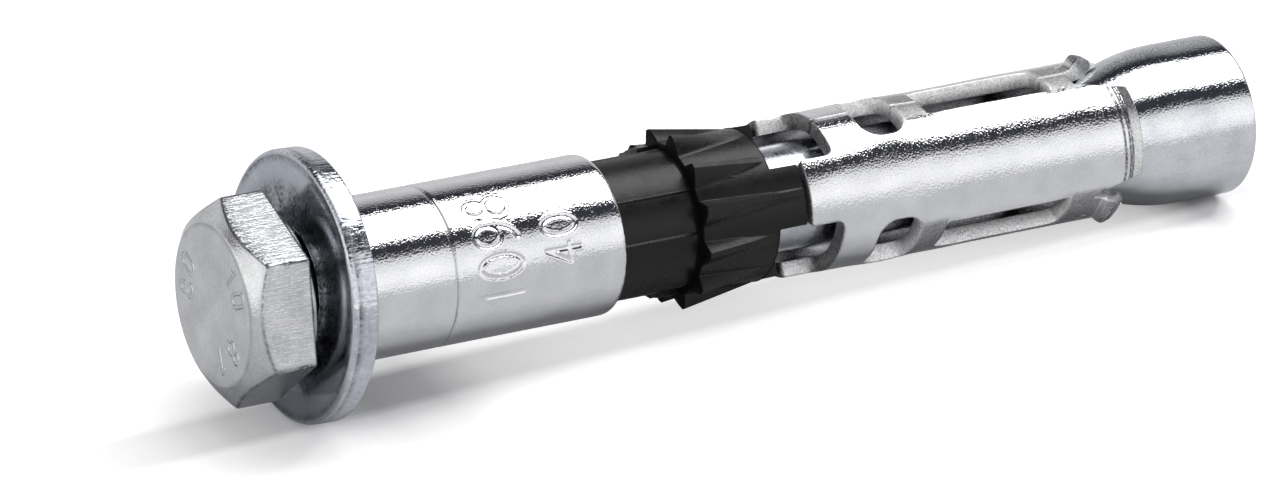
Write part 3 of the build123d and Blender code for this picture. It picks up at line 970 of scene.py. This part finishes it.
def sheetInside(along, around, sizes):
    # depth of a place of the flat sheet inside its metal: the least distance to any punched shape
    pitch = np.pi * sizes["diameter"] / 3
    third, across = foldThirds(around, sizes)
    seamSlot = (third % 3) == 0
    tongueHalf = np.radians(sizes["tongueAngle"]) * sizes["diameter"] / 4
    window = boxDistance(along + 3, across, sizes["tongueLength"] + 3, pitch / 2 - tongueHalf,
                         sizes["windowRadius"])
    keyhole = boxDistance(along - sizes["keyholeStart"] - sizes["keyholeLength"] / 2, across,
                          sizes["keyholeLength"] / 2, sizes["keyholeWidth"] / 2, sizes["keyholeRadius"])
    slot = boxDistance(along - sizes["slotStart"] - sizes["slotLength"] / 2, across,
                       sizes["slotLength"] / 2, sizes["slotWidth"] / 2, sizes["slotRadius"])
    webEnd = punchedEnds(sizes)[2]
    lipEnd = webEnd + sizes["lipLength"]
    rootHalf = sizes["lipWidth"] / 2 + sizes["sideGap"]
    mouthHalf = rootHalf + sizes["cornerCut"] * np.clip((along - webEnd) / sizes["lipLength"], 0, 1)
    mouth = np.maximum(webEnd - along, np.abs(across) - mouthHalf)
    lip = roundCorner(lipEnd - along, sizes["lipWidth"] / 2 - np.abs(across), sizes["lipRadius"])
    lip = np.where(seamSlot, np.minimum(lip, -across), lip)
    inside = np.minimum(np.minimum(window, keyhole), np.minimum(slot, np.maximum(mouth, lip)))
    inside = np.minimum(inside, np.where(seamSlot, np.abs(across) - sizes["seam"] / 2, 99.0))
    inside = np.minimum(inside, roundCorner(along, window, sizes["tongueRadius"]))
    return np.minimum(inside, sleeveLength - along)


def ontoContour(along, around, depth, sizes, rounds=4, small=0.01):
    # moves places along the slope g of the inside distance, each time by (distance - depth) g / |g|^2
    for number in range(rounds):
        value = sheetInside(along, around, sizes) - depth
        ahead, behind = sheetInside(along + small, around, sizes), sheetInside(along - small, around, sizes)
        slopeAlong = (ahead - behind) / small / 2
        ahead, behind = sheetInside(along, around + small, sizes), sheetInside(along, around - small, sizes)
        slopeAround = (ahead - behind) / small / 2
        size = np.maximum(slopeAlong**2 + slopeAround**2, 0.2)
        along, around = along - value * slopeAlong / size, around - value * slopeAround / size
    return along, around


def wrapSheet(along, around, depth, sizes):
    # flat sheet to space: the angle is the place round the sheet over r, and the radius drops at the bridges
    # and at the segments' ends. The lips curl outwards on an arc of radius b, along by b sin a and up by
    # b (1 - cos a), with the sheet's depth square to it
    across = np.abs(foldThirds(around, sizes)[1])
    radius, sheet = sizes["diameter"] / 2, sizes["sheet"]
    angle = around / radius + np.radians(sizes["turn"])
    keyholeEnd, slotEnd, webEnd = punchedEnds(sizes)
    firstWeb = easeStep(along, keyholeEnd - 1.2, keyholeEnd)
    firstWeb = firstWeb * (1 - easeStep(along, sizes["slotStart"] + 0.2, sizes["slotStart"] + 1.6))
    lastWeb = easeStep(along, slotEnd - 1.6, slotEnd - 0.2)
    lastWeb = lastWeb * (1 - easeStep(along, webEnd + 1.5, webEnd + 3.0) * (across > 1.7))
    drop = sizes["webRecess"] * (firstWeb + lastWeb) * (1 - easeStep(across, *sizes["webSide"]))
    lineAt = sleeveLength - sizes["endLength"]
    pastLine = along - lineAt
    line = sum(bellLine(pastLine - place, deep, sizes["endLineWidth"]) for place, deep in sizes["endLines"])
    keyholeMiddle = sizes["keyholeStart"] + sizes["keyholeLength"] / 2
    raised = bellLine(along - keyholeMiddle, sizes["keyholeRaise"], sizes["keyholeSpread"])
    raised = raised * (1 - easeStep(across, 3.3, 6.4))
    outer = radius - drop - line - sizes["endDrop"] * easeLine(pastLine, 0, sizes["endLength"]) + raised
    inner = radius - sheet - drop + np.maximum(pastLine, 0) * np.tan(np.radians(sizes["coneSlope"]))
    inner = np.minimum(inner, outer - 0.12)
    finer, broader = sizes["waviness"]
    outer = outer + finer * unevenness(along, angle, 11, 5.0) + broader * unevenness(along, angle, 21, 12.0)
    bendStart = webEnd - 0.5
    past = np.maximum(along - bendStart, 0) * (1 - easeStep(across, 1.68, 2.1))
    bend = np.minimum(past / sizes["lipBend"], np.radians(sizes["lipAngle"]))
    straight = past - bend * sizes["lipBend"]
    isLip = past > 0
    middle = (outer + inner) / 2
    curlAlong = bendStart + sizes["lipBend"] * np.sin(bend) + straight * np.cos(bend)
    curlAlong = np.where(isLip, curlAlong + (along - bendStart - past), along)
    curlRise = sizes["lipBend"] * (1 - np.cos(bend)) + straight * np.sin(bend)
    # the lips' ends are upset: thicker, and rounded off as sqrt(1 - k t^2) over their last part
    knob = sizes["lipKnob"] * easeStep(past, *sizes["lipKnobRun"])
    tip = np.clip((past - sizes["lipLength"] + 0.3) / sizes["lipTip"], 0, 1)
    half = ((outer - inner) / 2 + knob) * np.sqrt(1 - sizes["lipThin"] * tip**2) * (1 - 2 * depth)
    station = curlAlong - half * np.sin(bend)
    reach = middle + curlRise + half * np.cos(bend)
    return station + sleeveStart, reach, angle


def buildSleeve(sizes):
    # a flat grid of cells: those inside the sheet are kept, their border is moved onto the punched edge,
    # and both faces and the walls between them are wrapped
    pitch = np.pi * sizes["diameter"] / 3
    halfSeam = sizes["seam"] / 2
    stretches = [(0, halfSeam, 1), (halfSeam, 1.3, 6), (1.3, 3.0, 13), (3.0, 4.8, 9), (4.8, pitch / 2, 12)]
    half = np.concatenate([np.linspace(low, high, count + 1)[:-1] for low, high, count in stretches])
    across = np.concatenate([-half[:0:-1], half, [pitch / 2]])
    around = (across + np.arange(3)[:, None] * pitch).ravel()
    lineAt = sleeveLength - sizes["endLength"]
    step, fine = sizes["step"], sizes["fineStep"]
    along = np.concatenate([np.arange(-step, lineAt - 0.8, step),
                            np.arange(lineAt - 0.7, sleeveLength + 2 * fine, fine)])
    rowCount, count = len(along), len(around)
    gridAlong, gridAround = (part.copy() for part in np.meshgrid(along, around, indexing="ij"))
    width = np.diff(np.append(around, around[0] + 3 * pitch))
    middles = (along[:-1] + along[1:]) / 2
    middleAlong, middleAround = np.meshgrid(middles, around + width / 2, indexing="ij")
    keep = sheetInside(middleAlong, middleAround, sizes) > 0
    number = np.arange(rowCount * count).reshape(rowCount, count)
    following = np.roll(number, -1, 1)
    cells = np.stack([number[:-1], following[:-1], following[1:], number[1:]], -1)[keep]

    # edges used by one kept cell only are the sheet's border
    sides = np.concatenate([cells[:, [0, 1]], cells[:, [1, 2]], cells[:, [2, 3]], cells[:, [3, 0]]])
    keys = np.sort(sides, axis=1) @ np.array([rowCount * count, 1])
    first, uses = np.unique(keys, return_index=True, return_counts=True)[1:]
    border = sides[first[uses == 1]]
    borderPoints = np.unique(border)
    flatAlong, flatAround = gridAlong.ravel(), gridAround.ravel()
    edgeAlong, edgeAround = ontoContour(flatAlong[borderPoints], flatAround[borderPoints],
                                        sizes["edge"], sizes)
    flatAlong[borderPoints], flatAround[borderPoints] = edgeAlong, edgeAround
    total = rowCount * count

    # the wall between both faces of the sheet: rounded over the edge depth at each side
    share = sizes["edge"] / sizes["sheet"]
    wallRows = [(0.29, 0.29 * share), (0.0, share), (0.0, 0.5), (0.0, 1 - share), (0.29, 1 - 0.29 * share)]
    layers = [(flatAlong, flatAround, np.zeros(total)), (flatAlong, flatAround, np.ones(total))]
    lookup = np.full(total, -1)
    lookup[borderPoints] = np.arange(len(borderPoints))
    offset, chain = 2 * total, [border]
    for inset, depth in wallRows:
        a, b = ontoContour(edgeAlong, edgeAround, inset * sizes["edge"], sizes)
        layers.append((a, b, np.full(len(a), depth)))
        chain.append(lookup[border] + offset)
        offset += len(a)
    chain.append(border + total)
    walls = np.concatenate([np.stack([upper[:, 0], upper[:, 1], lower[:, 1], lower[:, 0]], -1)
                            for upper, lower in zip(chain[:-1], chain[1:])])
    faces = np.concatenate([cells, cells[:, ::-1] + total, walls])
    # the segments' tapered ends and the pressed-in bridges at both ends of the slots are grainy as well
    fromMiddle = np.abs(foldThirds(middleAround[keep], sizes)[1])
    keyholeEnd, slotEnd, webEnd = punchedEnds(sizes)
    place = middleAlong[keep]
    bridge = (place > keyholeEnd) & (place < sizes["slotStart"])
    bridge = bridge | ((place > slotEnd) & (place < webEnd + 0.8))
    # the bridges' grain has a frayed border
    frayed = 2.2 + 0.35 * unevenness(place, middleAround[keep] / sizes["diameter"] * 2, 9, 1.5)
    grainy = (place > lineAt + sizes["grainFrom"]) | (bridge & (fromMiddle < frayed))
    zone = np.concatenate([grainy, np.zeros(len(cells)), np.ones(len(walls))])
    alongAll, aroundAll, depthAll = (np.concatenate(parts) for parts in zip(*layers))
    used = np.unique(faces)
    renumber = np.full(len(alongAll), -1)
    renumber[used] = np.arange(len(used))
    points = ringPoints(*wrapSheet(alongAll[used], aroundAll[used], depthAll[used], sizes))
    # painted shade on the tongues' end walls, at the window's end and in the turned lines, and a dark line
    # along every punched edge
    onWall, outside, within = np.arange(len(alongAll)) >= 2 * total, depthAll == 0, depthAll == 1
    shade = sizes["wallGrime"] * (1 - easeStep(alongAll, 0.15, 0.5)) * onWall
    windowEnd = easeStep(alongAll, 2.5, 3.2) * (1 - easeStep(alongAll, 3.8, 4.6))
    shade += sizes["windowGrime"] * windowEnd * onWall
    shade[borderPoints] = sizes["borderGrime"]
    fromLine = alongAll - lineAt
    for place, deep in sizes["endLines"]:
        shade += bellLine(fromLine - place, sizes["lineGrime"] * deep, 1.2 * sizes["endLineWidth"]) * outside
    # the lips' upset ends are darker, and the bridges carry painted shade that dims their reflection of the
    # light overhead
    across = np.abs(foldThirds(aroundAll, sizes)[1])
    shade += sizes["lipGrime"] * easeStep(alongAll, webEnd + 1.3, webEnd + 2.2) * (across < 1.65)
    onBridge = easeStep(alongAll, keyholeEnd - 0.2, keyholeEnd + 0.4) * (alongAll < sizes["slotStart"])
    onBridge = onBridge + easeStep(alongAll, slotEnd, slotEnd + 0.4) * (alongAll < webEnd + 1)
    shade += sizes["webGrime"] * onBridge * (1 - easeStep(across, 1.9, 3.0)) * outside
    # painted shade on top of the segments' tapered ends too, where they face the light overhead, and on the
    # inside from the keyholes on
    fromTop = np.degrees(aroundAll / sizes["diameter"] * 2) + sizes["turn"]
    onTop = np.exp(-((fromTop - sizes["topMiddle"]) / sizes["topSpread"]) ** 4)
    shade += sizes["topGrime"] * onTop * easeStep(fromLine, 0.2, 0.7) * outside
    fromKeyhole = easeStep(alongAll, sizes["keyholeStart"] - 2, sizes["keyholeStart"])
    shade += sizes["insideGrime"] * fromKeyhole * within
    makePiece("slottedSleeve", points, renumber[faces], "sleeve", "expansion_sleeve",
              [sleeveZinc, shearedZinc], zone, {"shade": np.clip(shade[used], 0, 1)})


buildSleeve(sleeveSizes)


# The cone nut, turned, with the thread that fits the bolt's

coneSizes = {
    "columns": 176,
    "tipDiameter": 10.7,
    "slope": 18.8,
    "edge": 0.45,
    "boreChamfer": 0.9,
    "threadGap": 0.06,
    "threadStep": 0.125,
    "waviness": 0.006,
    # the painted shade: how dark on top, where and how wide, and how dark on the lower half, from where to
    # where
    "paintedTopBand": (0.62, -5.0, 13.0),
    "lowFilm": (0.5, 95.0, 165.0),
}


def buildCone(sizes):
    # a profile of stations and radii turned about the axis: the tip, the cone, an arc of radius b that
    # leaves it at the slope w, along by b (sin w - sin t) and out by b (cos t - cos w), the rim and the
    # thread
    low, high = nodeSpan("cone_nut")
    start, end, radius = low[0], high[0], (high[2] - low[2]) / 2
    tip, slope = sizes["tipDiameter"] / 2, np.radians(sizes["slope"])
    count = sizes["columns"]
    angle = np.arange(count) * 2 * np.pi / count
    # the cone bends over into the cylinder on an arc that leaves the cone where the sleeve ends
    blendStart = sleeveStart + sleeveLength
    blendRadius = (radius - tip - (blendStart - start) * np.tan(slope)) / (1 - np.cos(slope))
    turn = np.linspace(slope, 0, 16)
    arcStation = blendStart + blendRadius * (np.sin(slope) - np.sin(turn))
    arcReach = radius - blendRadius * (1 - np.cos(turn))
    bore = boltSizes["rootDiameter"] / 2 + sizes["threadGap"]
    corners = [(start + 0.5, bore), (start, bore), (start, tip)] + list(zip(arcStation, arcReach))
    corners += [(end, radius), (end, bore + sizes["boreChamfer"] + 0.2), (end - sizes["boreChamfer"], bore)]
    cuts = [0, 0.1, 0.2] + [0] * len(arcStation) + [sizes["edge"], 0.12, 0]
    rows = fillRows(roundProfile(corners, count, cuts, 5), 0.6)
    threadStart = boltEnd - boltSizes["threadLength"]
    stations = np.arange(end - sizes["boreChamfer"] - 0.1, start + 0.55, -sizes["threadStep"])[:, None]
    reach = threadRadius(stations, angle, boltSizes, threadStart) + sizes["threadGap"]
    rows = np.concatenate([rows, pairUp(stations, reach)])
    wave = sizes["waviness"] * unevenness(rows[..., 0], angle, 5, 7.0)
    reach = rows[..., 1] + wave * (rows[..., 1] > tip - 0.05)
    points = ringPoints(rows[..., 0], reach, angle)
    # a painted dark reflected band along the back of the top, and painted shade, getting stronger downwards,
    # on the lower half, where the cone mirrors the shadowed floor
    degrees = (np.degrees(angle) + 90) % 360 - 90
    paintedTopBand, middle, spread = sizes["paintedTopBand"]
    lowFilm, coneShadeFrom, coneShadeTo = sizes["lowFilm"]
    coneShade = bellLine(degrees - middle, paintedTopBand, spread) + lowFilm * easeStep(degrees, coneShadeFrom, coneShadeTo)
    makePiece("coneNut", points, gridFaces(len(rows), count, ring=True), "cone_nut", "cone_nut",
              [coneZinc], None, {"shade": np.broadcast_to(coneShade, reach.shape)})


buildCone(coneSizes)


# Floor, light and camera

floorSizes = {
    "half": 2.0,  # in metres
    "seen": (0.76, 0.76, 0.76, 1),
    "mirrored": (0.51, 0.513, 0.522, 1),
    # how far the shadow is lifted for the camera: millimetres along the floor, and the light added
    "lifted": [(-66, 0.3), (-58, 0.3), (-50, 0.2), (-44, 0.12), (-38, 0.0), (-32, 0.05), (-26, 0.33),
               (-12, 0.55), (15, 0.57), (38, 0.5), (44, 0.38), (49, 0.0), (55, 0.05), (62, 0.4)],
    # and this far from the middle line, from and to, the outer part of the shadow is paler still
    "outer": (2.6, 4.2, 0.2),
}
# the camera: angles in degrees, its lens, and its place from the head's middle in millimetres
shot = {
    "elevation": 25.2,
    "heading": 60.29,
    "lens": 225.0,
    "sensor": 36.0,
    "right": 37.694,
    "up": 4.990,
    "distance": 705.045,
}
lampSizes = {"name": "sideLamp", "side": -8.0, "rise": 41.0, "distance": 0.6, "size": 0.09, "power": 0.8}
# the studio round the anchor: angle from the front horizon over the top to the back one, and its brightness
lightBands = [
    (0, 0.95), (5, 1.05), (12, 1.14), (20, 1.18), (29, 1.04), (42.5, 0.84), (45, 0.4), (47.5, 0.04),
    (68, 0.05), (70, 0.5), (94, 0.55), (116, 0.5), (119, 0.3), (121, 0.03), (138, 0.04), (142, 0.34),
    (150, 0.5), (166, 0.74), (180, 0.6),
]
# the softbox overhead: within these angles it has two panels, each from and to a place along the anchor with
# its brightness; atHead is the pale side beyond the head, and blue is added to the dark parts
softbox = {
    "from": 69.5,
    "to": 119.0,
    "panels": [(-0.3, 0.14, 1.5), (0.12, 0.75, 4.4)],
    "atHead": 1.15,
    "headFrom": -0.74,
    "headTo": -0.86,
    "soft": 0.03,
    "blue": 0.013,
}


def buildFloor(sizes):
    mesh = bpy.data.meshes.new("floor")
    reach = sizes["half"]
    corners = [(-reach, -reach, 0), (reach, -reach, 0), (reach, reach, 0), (-reach, reach, 0)]
    mesh.from_pydata(corners, [], [(0, 1, 2, 3)])
    floor = bpy.data.objects.new("floor", mesh)
    bpy.context.scene.collection.objects.link(floor)
    material = bpy.data.materials.new("studioFloor")
    material.use_nodes = True
    tree = material.node_tree
    tree.nodes.remove(tree.nodes["Principled BSDF"])
    seen = addNode(tree, "ShaderNodeBsdfDiffuse", values={"Color": sizes["seen"]})
    mirrored = addNode(tree, "ShaderNodeBsdfDiffuse", values={"Color": sizes["mirrored"]})
    path, mix = addNode(tree, "ShaderNodeLightPath"), addNode(tree, "ShaderNodeMixShader")
    coordinates, parts = addNode(tree, "ShaderNodeTexCoord"), addNode(tree, "ShaderNodeSeparateXYZ")
    tree.links.new(coordinates.outputs["Object"], parts.inputs[0])
    low, high = sizes["lifted"][0][0], sizes["lifted"][-1][0]
    lift = addRamp(tree, mapValue(tree, parts.outputs["X"], low * mm, high * mm, 0, 1),
                   [((place - low) / (high - low), light) for place, light in sizes["lifted"]])
    near, far, pale = sizes["outer"]
    aside = doMath(tree, "ABSOLUTE", parts.outputs["Y"])
    lift = doMath(tree, "ADD", lift, mapValue(tree, aside, near * mm, far * mm, 0, pale))
    glow = addNode(tree, "ShaderNodeEmission")
    tree.links.new(lift, glow.inputs["Strength"])
    both = addNode(tree, "ShaderNodeAddShader")
    tree.links.new(seen.outputs[0], both.inputs[0])
    tree.links.new(glow.outputs[0], both.inputs[1])
    tree.links.new(path.outputs["Is Camera Ray"], mix.inputs["Fac"])
    tree.links.new(mirrored.outputs[0], mix.inputs[1])
    tree.links.new(both.outputs[0], mix.inputs[2])
    tree.links.new(mix.outputs[0], tree.nodes["Material Output"].inputs["Surface"])
    mesh.materials.append(material)


def buildStudio(bands, box):
    world = bpy.data.worlds.new("studio")
    world.use_nodes = True
    bpy.context.scene.world = world
    tree = world.node_tree
    coordinates = addNode(tree, "ShaderNodeTexCoord")
    parts = addNode(tree, "ShaderNodeSeparateXYZ")
    tree.links.new(coordinates.outputs["Generated"], parts.inputs[0])
    angle = doMath(tree, "ARCTAN2", parts.outputs["Z"], doMath(tree, "MULTIPLY", parts.outputs["Y"], -1.0))
    share = doMath(tree, "DIVIDE", angle, float(np.pi))
    light = addRamp(tree, share, [(place / 180, light) for place, light in bands], box["blue"])
    overhead = mapValue(tree, share, box["from"] / 180, (box["from"] + 3) / 180, 0, 1)
    upToBack = mapValue(tree, share, (box["to"] - 3) / 180, box["to"] / 180, 1, 0)
    overhead = doMath(tree, "MULTIPLY", overhead, upToBack)
    for start, end, strength in box["panels"]:
        aside = doMath(tree, "ABSOLUTE", doMath(tree, "SUBTRACT", parts.outputs["X"], (start + end) / 2))
        half = (end - start) / 2
        inPanel = mapValue(tree, aside, half - box["soft"], half + box["soft"], 1, 0)
        inPanel = doMath(tree, "MULTIPLY", inPanel, overhead)
        light = mixColors(tree, inPanel, light, (strength, strength, strength, 1))
    atHead = mapValue(tree, parts.outputs["X"], box["headTo"], box["headFrom"], 1, 0)
    light = mixColors(tree, atHead, light, (box["atHead"], box["atHead"], box["atHead"], 1))
    path = addNode(tree, "ShaderNodeLightPath")
    light = mixColors(tree, path.outputs["Is Camera Ray"], light, (1, 1, 1, 1))
    tree.links.new(light, tree.nodes["Background"].inputs["Color"])


def buildLamp(sizes):
    # a square lamp that looks at the anchor; mirrors don't show it
    lamp = bpy.data.objects.new(sizes["name"], bpy.data.lights.new(sizes["name"], "AREA"))
    lamp.data.size, lamp.data.energy = sizes["size"], sizes["power"]
    side, rise = np.radians(sizes["side"]), np.radians(sizes["rise"])
    toLamp = Vector((np.cos(rise) * np.cos(side), np.cos(rise) * np.sin(side), np.sin(rise)))
    lamp.location = toLamp * sizes["distance"]
    lamp.rotation_euler = toLamp.to_track_quat("Z", "Y").to_euler()
    lamp.visible_glossy = False
    bpy.context.scene.collection.objects.link(lamp)


def buildCamera(view):
    down, heading = np.radians(view["elevation"]), np.radians(view["heading"])
    forward = np.array([np.cos(down) * np.cos(heading), np.cos(down) * np.sin(heading), -np.sin(down)])
    right = np.array([np.sin(heading), -np.cos(heading), 0.0])
    above = np.cross(right, forward)
    place = axisStart + (right * view["right"] + above * view["up"] - forward * view["distance"]) * mm
    camera = bpy.data.objects.new("camera", bpy.data.cameras.new("camera"))
    camera.data.lens, camera.data.sensor_width = view["lens"], view["sensor"]
    camera.data.clip_start, camera.data.clip_end = 0.05, 20.0
    turned = [[right[n], above[n], -forward[n], place[n]] for n in range(3)]
    camera.matrix_world = Matrix(turned + [[0, 0, 0, 1]])
    bpy.context.scene.collection.objects.link(camera)
    bpy.context.scene.camera = camera


buildFloor(floorSizes)
buildStudio(lightBands, softbox)
buildLamp(lampSizes)
buildCamera(shot)
bpy.context.scene.view_settings.view_transform = "Standard"
print("floor, light and camera are in place")
